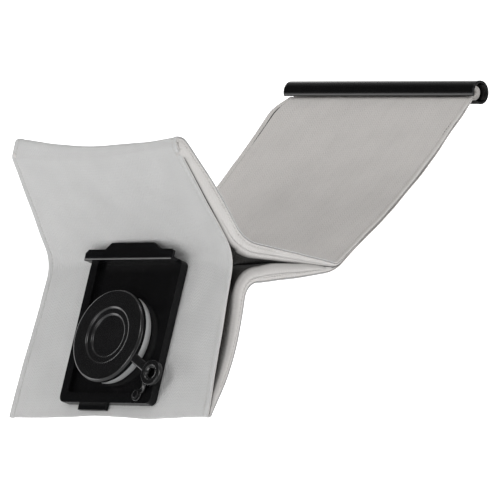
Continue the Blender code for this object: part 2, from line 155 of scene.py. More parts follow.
def material(name, roughness=0.5):
    made = bpy.data.materials.new(name)
    made.use_nodes = True
    tree = made.node_tree
    shader = tree.nodes["Principled BSDF"]
    shader.inputs["Roughness"].default_value = roughness
    return made, tree, shader


def node(tree, kind, inputs=None, **settings):
    made = tree.nodes.new(kind)
    for key, value in settings.items():
        setattr(made, key, value)
    for key, value in (inputs or {}).items():
        if isinstance(value, bpy.types.NodeSocket):
            tree.links.new(value, made.inputs[key])
        else:
            made.inputs[key].default_value = value
    return made


def maths(tree, operation, a, b=0.0, c=None, clamp=False):
    inputs = {0: a, 1: b} if c is None else {0: a, 1: b, 2: c}
    made = node(tree, "ShaderNodeMath", inputs, operation=operation)
    made.use_clamp = clamp
    return made.outputs[0]


def weighted(tree, *terms, clamp=False):
    """The sum of values, each times its weight."""
    parts = [maths(tree, "MULTIPLY", value, weight) for value, weight in terms]
    total = parts[0]
    for k, part in enumerate(parts[1:], 2):
        total = maths(tree, "ADD", total, part, clamp=clamp and k == len(parts))
    return total


def cloudy(tree, place, scale, detail=2.0, roughness=0.5):
    inputs = {"Vector": place, "Scale": scale, "Detail": detail, "Roughness": roughness}
    return node(tree, "ShaderNodeTexNoise", inputs).outputs[0]


def stripes(tree, place, scale, distortion, detail):
    inputs = {"Vector": place, "Scale": scale, "Distortion": distortion, "Detail": detail}
    return node(tree, "ShaderNodeTexWave", inputs, bands_direction="DIAGONAL").outputs[1]


def bumped(tree, shader, height, strength, distance):
    bump = node(tree, "ShaderNodeBump", {"Height": height, "Strength": strength, "Distance": distance})
    tree.links.new(bump.outputs[0], shader.inputs["Normal"])


def ramp(tree, value, low, high):
    """Maps a 0 to 1 value to a colour between low and high."""
    made = node(tree, "ShaderNodeMix", {"Factor": value}, data_type="RGBA")
    made.inputs[6].default_value = (*low, 1.0)
    made.inputs[7].default_value = (*high, 1.0)
    return made.outputs[2]


DASH_PITCH = 0.0026
FOLD_FADE = 300.0  # how fast the painted fold shade deepens, per metre across the strip
# near black painted into the side strips' folds as shade
PAINTED_FOLD_SHADE_COLOUR = (0.02, 0.018, 0.016)


def cloth_material(name, light, dark, weave=0.22, painted_fold_shade=0.0):
    """Spunbonded filter cloth: embossed slanting dashes in alternate columns, and loose fibres.

    Its UV map is in metres, across and along the strip. The fold setting paints shade on the
    cloth that lies deep inside a fold, greying it towards near black.
    """
    made, tree, shader = material(name, 0.92)
    uv = node(tree, "ShaderNodeUVMap", uv_map="UVMap").outputs[0]
    parts = node(tree, "ShaderNodeSeparateXYZ", {0: uv})
    u = maths(tree, "DIVIDE", parts.outputs[0], DASH_PITCH)
    v = maths(tree, "DIVIDE", parts.outputs[1], DASH_PITCH)
    column = maths(tree, "FLOOR", maths(tree, "MULTIPLY", u, 0.5))
    odd = maths(tree, "PINGPONG", column, 1.0)
    lean = maths(tree, "SUBTRACT", maths(tree, "MULTIPLY", odd, 2.0), 1.0)
    slant = maths(tree, "ADD", v, maths(tree, "MULTIPLY", u, lean))
    wave = maths(tree, "SINE", maths(tree, "MULTIPLY", slant, 2 * math.pi))
    dash = maths(tree, "MULTIPLY_ADD", wave, 0.5, 0.5)
    gate = maths(tree, "ABSOLUTE", maths(tree, "SINE", maths(tree, "MULTIPLY", u, math.pi)))
    emboss = maths(tree, "MULTIPLY", dash, gate)
    fibres = cloudy(tree, uv, 1500.0, 4.0, 0.7)
    threads = stripes(tree, uv, 420.0, 3.0, 2.0)
    patches = cloudy(tree, uv, 28.0, 3.0, 0.55)
    shade = weighted(tree, (fibres, 0.35), (emboss, weave), (threads, 0.08), (patches, 0.62), clamp=True)
    colour = ramp(tree, shade, dark, light)
    # painted shade: past WING_START across the strip the cloth is painted darker, deep in the folds
    if painted_fold_shade:
        deep = maths(tree, "SUBTRACT", parts.outputs[0], WING_START)
        deep = maths(tree, "MULTIPLY", deep, FOLD_FADE, clamp=True)
        deep = maths(tree, "MULTIPLY", deep, painted_fold_shade)
        mix = node(tree, "ShaderNodeMix", {"Factor": deep, 6: colour}, data_type="RGBA")
        mix.inputs[7].default_value = (*PAINTED_FOLD_SHADE_COLOUR, 1.0)
        colour = mix.outputs[2]
    tree.links.new(colour, shader.inputs["Base Color"])
    bumped(tree, shader, weighted(tree, (emboss, 0.7), (fibres, 0.6), (threads, 0.25)), 0.8, 0.0004)
    tree.links.new(maths(tree, "MULTIPLY_ADD", fibres, 0.14, 0.82), shader.inputs["Roughness"])
    shader.inputs["Sheen Weight"].default_value = 0.12
    shader.inputs["Sheen Roughness"].default_value = 0.45
    shader.inputs["Specular IOR Level"].default_value = 0.25
    return made


def plastic_material(name, base, worn, rough_low, rough_high, specular, grain=0.30):
    """Moulded plastic: a faint mottle, handling marks that change the gloss, and a fine grain."""
    made, tree, shader = material(name, rough_low)
    place = node(tree, "ShaderNodeTexCoord").outputs["Object"]
    mottle = cloudy(tree, place, 70.0, 4.0, 0.6)
    stretched = node(tree, "ShaderNodeMapping", {"Vector": place, "Scale": (900.0, 60.0, 900.0)})
    marks = cloudy(tree, stretched.outputs[0], 1.0, 3.0, 0.7)
    marks = maths(tree, "MULTIPLY", maths(tree, "SUBTRACT", marks, 0.55), 5.0, clamp=True)
    shade = weighted(tree, (mottle, 0.6), (marks, 0.3))
    tree.links.new(ramp(tree, shade, base, worn), shader.inputs["Base Color"])
    rough = weighted(tree, (mottle, 0.6), (marks, 0.5))
    rough = maths(tree, "MULTIPLY_ADD", rough, rough_high - rough_low, rough_low)
    tree.links.new(rough, shader.inputs["Roughness"])
    bumped(tree, shader, cloudy(tree, place, 2600.0), grain, 0.00002)
    shader.inputs["Specular IOR Level"].default_value = specular
    return made


def thread_material():
    made, tree, shader = material("thread", 0.75)
    place = node(tree, "ShaderNodeTexCoord").outputs["Object"]
    twist = stripes(tree, place, 900.0, 1.5, 2.0)
    tree.links.new(ramp(tree, twist, (0.44, 0.43, 0.41), (0.66, 0.65, 0.62)), shader.inputs["Base Color"])
    bumped(tree, shader, twist, 0.5, 0.0001)
    return made


FRONT_CLOTH = cloth_material("front_cloth", (0.66, 0.66, 0.655), (0.50, 0.50, 0.50))
TAIL_CLOTH = cloth_material("tail_cloth", (0.71, 0.682, 0.660), (0.52, 0.500, 0.484), weave=0.45)
# The side strips' cloth is the front's fabric painted lighter, as painted light from the right side; deep in its
# folds it also gets painted shade.
SIDE_CLOTH = cloth_material("side_cloth", (0.73, 0.71, 0.695), (0.57, 0.553, 0.54), painted_fold_shade=0.985)
THREAD = thread_material()
PLATE_PLASTIC, CAP_PLASTIC, RAIL_PLASTIC, INNER_PLASTIC, HIGHLIGHT_EDGE_PLASTIC, SEAL_RUBBER = (
    plastic_material(*look)
    for look in (  # name, clean and worn colour, least and most roughness, specular level, grain
        ("collar_black", (0.0029, 0.0029, 0.0033), (0.0073, 0.0073, 0.0077), 0.16, 0.32, 0.22),
        ("cap_black", (0.0047, 0.0047, 0.0051), (0.0113, 0.0113, 0.0117), 0.15, 0.28, 0.50, 0.05),
        ("rail_black", (0.0028, 0.0028, 0.0031), (0.0070, 0.0070, 0.0070), 0.13, 0.26, 0.35),
        ("backing_black", (0.012, 0.012, 0.012), (0.02, 0.02, 0.02), 0.40, 0.60, 0.30),
        # painted highlight: the grip bead's light grey stands in for the shine along the bar's lower front edge
        ("painted_highlight_edge", (0.07, 0.07, 0.07), (0.16, 0.16, 0.16), 0.15, 0.30, 0.60, 0.1),
        ("seal_grey", (0.56, 0.57, 0.57), (0.68, 0.68, 0.67), 0.30, 0.50, 0.40),
    )
)


# Mesh building


def placed(name, data):
    obj = bpy.data.objects.new(name, data)
    bpy.context.scene.collection.objects.link(obj)
    return obj


def mesh_object(name, vertices, faces, made_of, uv=None):
    mesh = bpy.data.meshes.new(name)
    mesh.from_pydata([tuple(v) for v in vertices], [], faces)
    if uv is not None:
        layer = mesh.uv_layers.new(name="UVMap")
        at = np.empty(len(mesh.loops), int)
        mesh.loops.foreach_get("vertex_index", at)
        layer.data.foreach_set("uv", np.asarray(uv, np.float32)[at].ravel())
    mesh.shade_smooth()
    mesh.materials.append(made_of)
    return placed(name, mesh)


def grid_object(name, points, uv, made_of, skip=None, flip=False):
    """A sheet from rows by columns of points; skip is true for the faces that are cut out."""
    rows, columns = points.shape[:2]
    faces = []
    for i in range(rows - 1):
        for j in range(columns - 1):
            if skip is not None and skip[i, j]:
                continue
            a, b = i * columns + j, (i + 1) * columns + j
            faces.append((a, a + 1, b + 1, b) if flip else (a, b, b + 1, a + 1))
    return mesh_object(name, points.reshape(-1, 3), faces, made_of, uv.reshape(-1, 2))


def solidify(piece, thickness=CLOTH, offset=-1.0):
    modifier = piece.modifiers.new("thickness", "SOLIDIFY")
    modifier.thickness = thickness
    modifier.offset = offset
    modifier.use_even_offset = False


def bevelled(piece, width, angle):
    """Rounds a rigid piece's edges that are sharper than an angle in degrees."""
    bevel = piece.modifiers.new("edges", "BEVEL")
    bevel.width, bevel.segments = width, 3
    bevel.limit_method, bevel.angle_limit = "ANGLE", math.radians(angle)
    bevel.harden_normals = False


def softened(piece, width):
    """Welds a CAD piece, rounds its edges and evens out its shading."""
    weld = piece.modifiers.new("weld", "WELD")
    weld.merge_threshold = 0.00002
    bevelled(piece, width, 28.0)
    normals = piece.modifiers.new("normals", "WEIGHTED_NORMAL")
    normals.keep_sharp = False
    normals.weight = 80


# The cloth's loop


def soft_path(corners, cuts, straights, bends):
    """Rows of points through corners, each inner one rounded over its cut on both sides.

    corners is (count, columns, 3) and cuts (count, columns). Also gives the row in the middle
    of each corner.
    """
    lengths = np.linalg.norm(corners[1:] - corners[:-1], axis=2)
    for k in range(len(corners) - 1):
        room = 0.94 * lengths[k] / np.maximum(cuts[k] + cuts[k + 1], 1e-9)
        cuts[k : k + 2] *= np.minimum(room, 1.0)
    ways = unit(corners[1:] - corners[:-1])
    rows, middles = [], [0]
    for k in range(len(corners) - 1):
        start = corners[k] + ways[k] * cuts[k][:, None]
        end = corners[k + 1] - ways[k] * cuts[k + 1][:, None]
        for i in range(straights[k]):
            rows.append(start + (end - start) * i / straights[k])
        if k + 2 == len(corners):
            break
        after = corners[k + 1] + ways[k + 1] * cuts[k + 1][:, None]
        middles.append(len(rows) + bends // 2)
        for i in range(bends):
            t = i / bends
            rows.append(end * (1 - t) ** 2 + corners[k + 1] * 2 * t * (1 - t) + after * t**2)
    rows.append(corners[-1])
    middles.append(len(rows) - 1)
    return np.array(rows), middles


def columns_of(width):
    """Shares of the width, close together across the two hems."""
    fine = np.array([0.0, 0.0006, 0.0014, 0.0024, 0.0034, 0.0041, 0.0048, 0.0055, 0.0064])
    fine = np.concatenate([fine, [0.0085, 0.012, 0.017]])
    field = np.linspace(fine[-1], width - fine[-1], FIELD_COLUMNS)[1:-1]
    return np.concatenate([fine, field, width - fine[::-1]]) / width


def line(right, left):
    """Points from the left end of a fold line to the right one."""
    return left + (right - left) * U[:, None]


def edge_line(node, y, z):
    """The edge of a CAD node that lies farthest towards y and z, from left to right."""
    return line(corner(node, 1, y, z), corner(node, -1, y, z))


def shifted(points, x=0.0, y=0.0, z=0.0):
    out = points.copy()
    for axis, by in enumerate((x, y, z)):
        out[:, axis] += by
    return out


def plane_y(z, n):
    """Y at height z, at distance n in front of the collar's front face."""
    return (z * PLATE_N[2] - n) / -PLATE_N[1]


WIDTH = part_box("lower_pocket_cloth")[1].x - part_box("lower_pocket_cloth")[0].x
U = columns_of(WIDTH)
BOW = np.sin(math.pi * U)
TAIL_HALF, TAIL_MIDDLE = 0.0011, 0.0014  # half the distance between the tail's layers
PORT_SIDE = 0.004  # the cloth lies flat this far past the plate


def cloth_corners():
    """The loop's corners with their names, and how far each is rounded off."""
    upper, lower = "upper_pocket_cloth", "lower_pocket_cloth"
    right_top, left_top = corner(upper, 1, -1, 1), corner(upper, -1, -0.6, 1)
    top_front = line(right_top + (0, -0.0010, 0.0042), left_top + (0, 0.0005, -0.0004))
    upper_front = line(right_top + (0, 0.0003, -0.0035), left_top + (-0.0045, 0, -0.0155))
    front_crease = line(corner(lower, 1, -1, 1), corner(lower, -1, -1, 1) + (0, 0.0020, 0))
    bottom_front = edge_line(lower, -1, -1)
    lower_crease = edge_line(lower, 1, 0.5)
    upper_crease = edge_line("neck_top_cloth", -1, 0)
    upper_crease[:, 1:] = joint("upper_pocket_fold")["pos_m"][1:]
    neck_end = edge_line("neck_top_cloth", 1, -0.5)
    rail = line(end_of("tail_bead", RIGHT), end_of("tail_bead", LEFT))

    top_front = shifted(top_front, z=-TOP_SAG * BOW)
    upper_front = shifted(upper_front, z=-TOP_SAG * BOW)
    top_back = shifted(top_front, y=0.0092, z=0.0002)
    bottom_front = shifted(bottom_front, z=-0.0022 * np.exp(-(((U - 0.74) / 0.16) ** 2)) + 0.001 * BOW)
    bottom_back = shifted(bottom_front, y=0.0044, z=-0.0006)

    # Behind the collar the front layer lies flat; beside it, it is drawn out to the seams
    for row in (front_crease, bottom_front):
        x = row[:, 0]
        right, left = PLATE_RIGHT + PORT_SIDE, PLATE_LEFT - PORT_SIDE
        to_right = np.clip((x - right) / (x[-1] - right), 0, 1)
        to_left = np.clip((left - x) / (left - x[0]), 0, 1)
        flat = plane_y(row[:, 2], -BEHIND_PLATE)
        row[:, 1] = flat + (row[-1, 1] - flat[-1]) * to_right**2 + (row[0, 1] - flat[0]) * to_left**2
    beside = 1 - np.clip(np.minimum(U, 1 - U) / 0.22, 0, 1)

    upper_back = shifted((top_back + upper_crease) / 2, y=0.0022 + 0.007 * BOW, z=0.001)
    lower_back = shifted((bottom_back + lower_crease) / 2, y=0.0100 + 0.024 * BOW)
    neck_under = shifted(neck_end, y=-0.003, z=-0.0065)
    neck_under_mid = shifted((lower_crease + neck_under) / 2, z=-0.001 - 0.004 * BOW)
    tail_way = unit(rail - neck_end)
    tail_out = unit(np.cross(tail_way, np.array([-1.0, 0.0, 0.0])))
    near_rail = rail - tail_way * 0.0215
    near_rail[:, 0] += np.where(U > 0.5, 0.0030, -0.0100) * np.abs(2 * U - 1) ** 3
    at_rail = rail - tail_way * 0.0070
    mid = (neck_end * 0.45 + near_rail * 0.55) - tail_out * 0.0085
    mid[:, 0] = (neck_end[:, 0] + near_rail[:, 0]) / 2
    crease_cut = 0.003 + 0.011 * beside
    table = (  # name, line, and how far it is rounded off to both sides
        ("rail_front", at_rail + tail_out * TAIL_HALF, 0),
        ("near_rail_front", near_rail + tail_out * TAIL_HALF, 0.008),
        ("tail_front", mid + tail_out * TAIL_MIDDLE, 0.060),
        ("neck_end", shifted(neck_end, z=0.0005), 0.004),
        ("upper_crease", upper_crease, 0.013),
        ("upper_back", upper_back, 0.030),
        ("top_back", top_back, 0.0052),
        ("top_front", top_front, 0.0035),
        ("upper_front", upper_front, 0.0025),
        ("front_crease", front_crease, crease_cut),
        ("bottom_front", bottom_front, 0.0020),
        ("bottom_back", bottom_back, 0.0020),
        ("lower_back", lower_back, 0.034),
        ("lower_crease", lower_crease, 0.015),
        ("neck_under", neck_under_mid, 0.030),
        ("neck_end_under", neck_under, 0.011),
        ("tail_back", mid - tail_out * TAIL_MIDDLE, 0.050),
        ("near_rail_back", near_rail - tail_out * TAIL_HALF, 0.008),
        ("rail_back", at_rail - tail_out * TAIL_HALF, 0),
    )
    names, corners, cuts = zip(*table)
    return names, np.array(corners), np.array([cut * np.ones_like(U) for cut in cuts])


def through_crease(corners, cuts, k):
    """Moves corner k so that the rounded path still passes through its own line."""
    ways = unit(corners[1:] - corners[:-1])
    corners[k] -= (ways[k] - ways[k - 1]) * cuts[k][:, None] / 4


def noise_field(x, s, per_metre, seed):
    flat = [noise.noise(Vector((a * per_metre, b * per_metre, seed))) for a, b in zip(x.ravel(), s.ravel())]
    return np.array(flat).reshape(x.shape)


def dent(x, z, start, end, width):
    """1 along the segment between two (x, z) points, fading over width to its sides and ends."""
    start, end = np.array(start), np.array(end)
    way = end - start
    along = ((x - start[0]) * way[0] + (z - start[1]) * way[1]) / (way @ way)
    off = np.abs((x - start[0]) * way[1] - (z - start[1]) * way[0]) / np.linalg.norm(way)
    return np.exp(-((off / width) ** 2)) * smooth_step(along * 3) * smooth_step((1 - along) * 3)


def cloth_loop():
    """Rows of the whole loop, its corner rows, the length along it, and its outward normals."""
    names, corners, cuts = cloth_corners()
    for name in ("upper_crease", "lower_crease"):
        through_crease(corners, cuts, names.index(name))
    lengths = np.linalg.norm(corners[1:] - corners[:-1], axis=2).mean(1)
    straights = [max(2, int(round(length / STEP))) for length in lengths]
    rows, middles = soft_path(corners, cuts, straights, 14)
    along = np.linalg.norm(np.diff(rows[:, len(U) // 2], axis=0), axis=1)
    s = np.concatenate([[0.0], np.cumsum(along)])
    marks = dict(zip(names, middles))

    x, z = rows[..., 0], rows[..., 2]
    length = np.repeat(s[:, None], len(U), axis=1)
    d = np.minimum(U, 1 - U) * WIDTH
    hem = HEM_PUFF * np.sin(math.pi * np.clip(d / HEM, 0, 1)) - 0.0005 * np.exp(-(((d - HEM) / 0.0006) ** 2))
    wave = 0.0011 * noise_field(x, length, 17.0, 3.0) + 0.0005 * noise_field(x, length, 42.0, 9.0)
    row = np.arange(len(rows))[:, None]
    on_front = (row > marks["top_front"]) & (row < marks["bottom_front"])
    under_plate = on_front & (z < 0.072) & (x > PLATE_LEFT - 0.008) & (x < PLATE_RIGHT + 0.008)
    wave = np.where(under_plate, 0.0, wave)
    folds = -sum(depth * dent(x, z, start, end, width) for start, end, width, depth in FRONT_FOLDS)
    wave += np.where(on_front & ~under_plate, folds, 0.0)
    at_rail = smooth_step(np.minimum(s, s[-1] - s) / 0.02)[:, None]
    wave *= at_rail
    hem = hem[None, :] * (0.35 + 0.65 * at_rail)
    normals = normals_of(rows)
    rows = rows + normals * (wave + hem)[..., None]
    return rows, marks, s, normals_of(rows)


# Soft folds beside the collar: start and end in (x, z), width and depth
FRONT_FOLDS = (
    ((0.068, 0.010), (0.100, 0.064), 0.0050, 0.0012),
    ((0.078, -0.020), (0.108, 0.030), 0.0060, -0.0009),
    ((0.070, -0.052), (0.112, -0.030), 0.0060, 0.0007),
    ((-0.100, 0.058), (-0.052, 0.064), 0.0045, 0.0008),
    ((-0.066, 0.060), (-0.060, -0.040), 0.0050, -0.0006),
    ((0.040, 0.078), (0.095, 0.110), 0.0080, 0.0006),
)


def normals_of(rows):
    """Outward unit normals of a grid whose rows run round the loop and columns to the right."""
    return unit(np.cross(np.gradient(rows, axis=0), np.gradient(rows, axis=1)))


ROWS, MARKS, S, NORMALS = cloth_loop()
TOP = MARKS["upper_front"] - 8  # the front's own narrow side strips run from here to BOTTOM
BOTTOM = (MARKS["bottom_front"] + MARKS["bottom_back"]) // 2
MARKS.update(strip_top=TOP, strip_bottom=BOTTOM)
JOIN = 6  # rows of the neck that the tail's pieces take in
NECK_JOIN = MARKS["neck_end"] + JOIN
UNDER_JOIN = MARKS["neck_end_under"] - JOIN


def sheet_piece(name, first, last, made_of, skip=None):
    points = ROWS[first : last + 1]
    uv = np.stack(np.broadcast_arrays((U * WIDTH)[None, :], S[first : last + 1, None]), axis=2)
    piece = grid_object(name, points, uv, made_of, skip)
    solidify(piece)
    return piece


# How pieces ride on the bodies


def follow(piece, how):
    """Rides on one body; a piece across a fold of the cloth only has its placement baked in."""
    if how == "pocket_fold":
        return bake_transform(piece)
    if how == "neck_fold":
        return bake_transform(piece)
    if how == "tail_fold":
        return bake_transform(piece)
    if how == "cap_pull":
        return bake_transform(piece)
    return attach(piece, how)


def settle(piece, how, slot, *nodes):
    """Places the piece as follow() does, and takes the place of CAD nodes. slot is not used."""
    follow(piece, how)
    if nodes:
        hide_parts(*nodes)


# Stitches


def at_lengths(path, along, at):
    """Points of a path at given lengths along it."""
    return np.stack([np.interp(at, along, path[:, k]) for k in range(3)], axis=1)


def tube_faces(rings, sides, base=0, closed=True):
    """Faces between rings of points numbered on from base, with both ends shut if it is closed."""
    faces = []
    for r in range(rings - 1):
        for k in range(sides if closed else sides - 1):
            a, b = base + r * sides + k, base + r * sides + (k + 1) % sides
            faces.append((a, b, b + sides, a + sides))
    if closed:
        faces.append(tuple(base + k for k in reversed(range(sides))))
        faces.append(tuple(base + (rings - 1) * sides + k for k in range(sides)))
    return faces


def stitches(name, path, normals, how, pitch=0.0031, long=0.0023, radius=0.00030):
    """A line of thread stitches, half sunk in the cloth along a path."""
    steps = np.linalg.norm(np.diff(path, axis=0), axis=1)
    along = np.concatenate([[0.0], np.cumsum(steps)])
    count = int(along[-1] / pitch)
    at = (np.arange(count) + 0.5) * along[-1] / max(count, 1)
    centre = at_lengths(path, along, at)
    way = unit(at_lengths(path, along, at + 0.0008) - at_lengths(path, along, at - 0.0008))
    side = unit(np.cross(way, unit(at_lengths(normals, along, at))))
    up = np.cross(side, way)
    rings, sides = 5, 6
    vertices, faces = [], []
    for i in range(count):
        base = len(vertices)
        for r in range(rings):
            t = r / (rings - 1)
            thick = radius * (0.35 + 0.65 * math.sin(math.pi * t) ** 0.5)
            sink = -0.00022 * (2 * t - 1) ** 2 + 0.00008
            middle = centre[i] + way[i] * (t - 0.5) * long + up[i] * sink
            for k in range(sides):
                a = 2 * math.pi * k / sides
                vertices.append(middle + (up[i] * math.sin(a) + side[i] * math.cos(a)) * thick)
        faces += tube_faces(rings, sides, base)
    piece = mesh_object(name, vertices, faces, THREAD)
    settle(piece, how, "seam")
    return piece


def hem_stitches(name, first, last, how):
    """Stitch lines along both hems of a sheet."""
    made = []
    for side, hand in SIDES:
        column = int(np.abs(U * WIDTH - HEM).argmin())
        column = len(U) - 1 - column if side == RIGHT else column
        path, out = ROWS[first : last + 1, column], NORMALS[first : last + 1, column]
        made.append(stitches(f"{name}_stitches_{hand}", path + out * 0.0001, out, how))
    return made


def cloth_sheets():
    """The strip's five pieces, each with its hems' stitches."""
    first, last = MARKS["upper_crease"], MARKS["lower_crease"]
    middle = (ROWS[first:last, :-1] + ROWS[first + 1 : last + 1, 1:]) / 2
    off_axis = np.linalg.norm(np.cross(middle, PLATE_N), axis=2)
    front = (np.arange(first, last) > TOP) & (np.arange(first, last) < BOTTOM)
    port = (off_axis < PORT_HOLE) & front[:, None]
    plan = (
        ("pockets_sheet", first, last, "pocket_fold", FRONT_CLOTH, port, "folded", "collar_plate",
         ("upper_pocket_cloth", "lower_pocket_cloth")),
        ("neck_top_sheet", NECK_JOIN, first, "neck", FRONT_CLOTH, None, "stretched", "pockets_sheet",
         ("neck_top_cloth",)),
        ("neck_under_sheet", last, UNDER_JOIN, "neck_fold", FRONT_CLOTH, None, "hung", "pockets_sheet",
         ("neck_bottom_cloth",)),
        ("tail_front_sheet", 0, NECK_JOIN, "tail_fold", TAIL_CLOTH, None, "hung", "closing_rail",
         ("tail_front_cloth",)),
        ("tail_back_sheet", UNDER_JOIN, len(ROWS) - 1, "tail_fold", TAIL_CLOTH, None, "hung", "closing_rail",
         ("tail_back_cloth",)),
    )
    for name, start, end, how, made_of, skip, held, rests_on, nodes in plan:
        piece = sheet_piece(name, start, end, made_of, skip)
        settle(piece, how, "cloth", *nodes)
        threads = hem_stitches(name.replace("_sheet", ""), start, end, how)


# Side strips: a seam wall along an edge of the loop, and a wing folded in between the layers


def edge_point(side, s):
    return np.array([np.interp(s, S, ROWS[:, EDGE[side], k]) for k in range(3)])


def mark(name):
    return S[MARKS[name]]


S_TOP, S_BOTTOM = S[TOP], S[BOTTOM]
S_TURN = (mark("top_back") + mark("top_front")) / 2


def paired(s):
    """The section a length belongs to, its share of that section, and the length across from it."""
    neck, upper, front, lower, under = (
        mark(n) for n in ("neck_end", "upper_crease", "front_crease", "lower_crease", "neck_end_under")
    )
    sections = (  # name, where its share is 0 and 1, and the same two on the layer across
        ("tail", neck, 0.0, under, S[-1]),
        ("neck", upper, neck, lower, under),
        ("upper", S_TURN, upper, S_TURN, front),
        ("upper", S_TURN, front, S_TURN, upper),
        ("lower", S_BOTTOM, front, S_BOTTOM, lower),
        ("lower", S_BOTTOM, lower, S_BOTTOM, front),
        ("neck", lower, under, upper, neck),
        ("tail", under, S[-1], neck, 0.0),
    )
    for name, root, tip, far_root, far_tip in sections:
        if s <= max(root, tip):
            break
    share = (s - root) / (tip - root)
    return name, share, far_root + (far_tip - far_root) * share


def layer_point(side, s, deep):
    """The point of the layer at length s that lies a depth in from the side edge."""
    i = int(np.clip(np.searchsorted(S, s) - 1, 0, len(S) - 2))
    t = (s - S[i]) / (S[i + 1] - S[i])
    row = ROWS[i] * (1 - t) + ROWS[i + 1] * t
    x = row[EDGE[side], 0] - side * deep
    return np.array([x, np.interp(x, row[:, 0], row[:, 1]), np.interp(x, row[:, 0], row[:, 2])])


def crossing(side):
    """Where the folds of the upper, lower and neck strips meet, deep between the layers."""
    names = (("upper_crease", 0.36), ("front_crease", 0.04), ("lower_crease", 0.60))
    return sum(layer_point(side, mark(n), 0.020) * w for n, w in names)


def spine(side, s):
    """The inner fold that a strip's wing runs to."""
    section, share, across = paired(s)
    if section in ("upper", "lower"):
        deep = 0.006 + (WING_DEEP - 0.006) * smooth_step(share * 1.3)
    else:
        deep = WING_DEEP - (0.024 * share if section == "tail" else 0.0)
    middle = (layer_point(side, s, deep) + layer_point(side, across, deep)) / 2
    if section in ("upper", "lower"):
        way = crossing(side) - middle
        way[0] = 0.0
        middle = middle + unit(way) * 0.004 * (1 - smooth_step(share / 0.12))
    near = {"upper": 1 - share, "lower": 1 - share, "neck": share, "tail": 1.0}[section]
    return crossing(side) * (1 - smooth_step(near / 0.3)) + middle * smooth_step(near / 0.3)


def to_front(side, s):
    """Distance from the back layer's edge to the front layer's."""
    front = ROWS[TOP + 6 : BOTTOM - 3, EDGE[side]]
    return float(np.linalg.norm(front - edge_point(side, s), axis=1).min())


WALL_WIDTHS = (  # mark, how far past it, and the wall's width there
    ("rail_front", 0.0, 0.0007), ("neck_end", -0.03, 0.0008), ("neck_end", 0.0, 0.0016),
    ("neck_end", 0.012, 0.0024), ("neck_end", 0.036, 0.0036), ("upper_crease", -0.036, 0.0050),
    ("upper_crease", 0.0, 0.0072), ("upper_crease", 0.02, 0.0110), ("top_back", -0.030, 0.0130),
    ("top_back", -0.0005, 0.0175), ("top_back", 0.0, 0.0125), ("top_front", 0.0, 0.0095),
    ("strip_top", 0.0, 0.0060), ("strip_bottom", 0.0, 0.0014), ("bottom_back", 0.012, 0.0040),
    ("lower_back", 0.0, 0.0062), ("lower_crease", 0.0, 0.0084), ("lower_crease", 0.03, 0.0112),
    ("neck_end_under", -0.036, 0.0084), ("neck_end_under", -0.014, 0.0042),
    ("neck_end_under", 0.0, 0.0014), ("neck_end_under", 0.02, 0.0008), ("rail_back", 0.0, 0.0007),
)
WALL_TURNS = (  # mark, how far past it, and the radius of the turn into the wing there
    ("rail_front", 0.0, 0.0003), ("neck_end", 0.0, 0.0008), ("neck_end", 0.02, 0.0022),
    ("upper_crease", -0.03, 0.0042), ("upper_crease", 0.004, 0.0042), ("upper_crease", 0.03, 0.0014),
    ("strip_top", 0.0, 0.0014), ("strip_bottom", 0.0, 0.0004), ("lower_back", 0.0, 0.0022),
    ("lower_crease", 0.0, 0.0024), ("lower_crease", 0.03, 0.0016), ("neck_end_under", -0.014, 0.0012),
    ("neck_end_under", 0.0, 0.0004), ("rail_back", 0.0, 0.0002),
)


def read_off(table, s):
    return float(np.interp(s, [mark(name) + past for name, past, _ in table], [row[2] for row in table]))


def wall_width(side, s):
    """How wide the seam wall is at a length along the loop, and how softly it turns in."""
    wide, turn = read_off(WALL_WIDTHS, s), read_off(WALL_TURNS, s)
    slit = SLIT
    if s < S_TOP:
        slit *= smooth_step((mark("top_back") - s - 0.008) / 0.006)
    if mark("neck_end") < s < mark("top_back") or S_BOTTOM < s < mark("neck_end_under"):
        room = max(0.0008, to_front(side, s) - CLOTH - slit)
        turn = min(turn, room * 0.45) * (0.3 + 0.7 * slit / SLIT)
        wide = min(wide, room - turn)
    if abs(s - mark("top_front")) < 0.0030:
        wide, turn = min(wide, 0.0024), min(turn, 0.0004)  # longer rows would cross in the tight bend
    return max(0.0004, wide), turn


def end_shade(s):
    """Where the neck's strips meet the tail's, painted shade darkens them into the tail's thin edge."""
    on_top = s < S_TOP
    past = mark("neck_end") - 0.001 - s if on_top else s - mark("neck_end_under") + 0.002
    return 0.0 if past <= 0 else WING_START + (0.0008 if on_top else 0.0024) * min(1.0, past / 0.008)


def edge_shade(name, s):
    """How far a wall's turned edge reaches into the strip's painted fold shade."""
    shade = 0.0030 if name.startswith("upper") else 0.0017 if name.startswith("lower") else 0.0012
    if name.startswith(("lower", "neck")):
        end = mark("neck_end") if s < S_TOP else mark("neck_end_under")
        shade += (0.0040 - shade) * (1 - smooth_step((abs(s - end) - 0.02) / 0.03))
    return shade


WALL_STEPS, TURN_STEPS, WING_STEPS = 9, 5, 9
SEAM_IN = 0.0026  # from the edge to the wall's stitches
STITCHED = 0.005  # only walls wider than this show their stitches
SHADE_FROM = 0.35  # share of a lower wall's width that stays free of painted shade


def wall_row(start, inward, out, wide, graded):
    """The seam wall: points inwards from its start, and their coordinates across the strip, which step into
    painted shade where graded.
    """
    row, across = [start], [0.0]
    for k in range(1, WALL_STEPS + 1):
        t = k / WALL_STEPS
        d = wide * t
        swell = 0.0009 * math.sin(math.pi * t) * min(1.0, wide / 0.006)
        groove = 0.0005 * math.exp(-(((d - SEAM_IN) / 0.0006) ** 2)) if wide > STITCHED else 0.0
        row.append(start + inward * d + out * (swell - groove))
        if graded and t > SHADE_FROM and wide > 0.002:
            d = WING_START + 0.0012 * ((t - SHADE_FROM) / (1 - SHADE_FROM)) ** 1.5
        across.append(d)
    return row, across


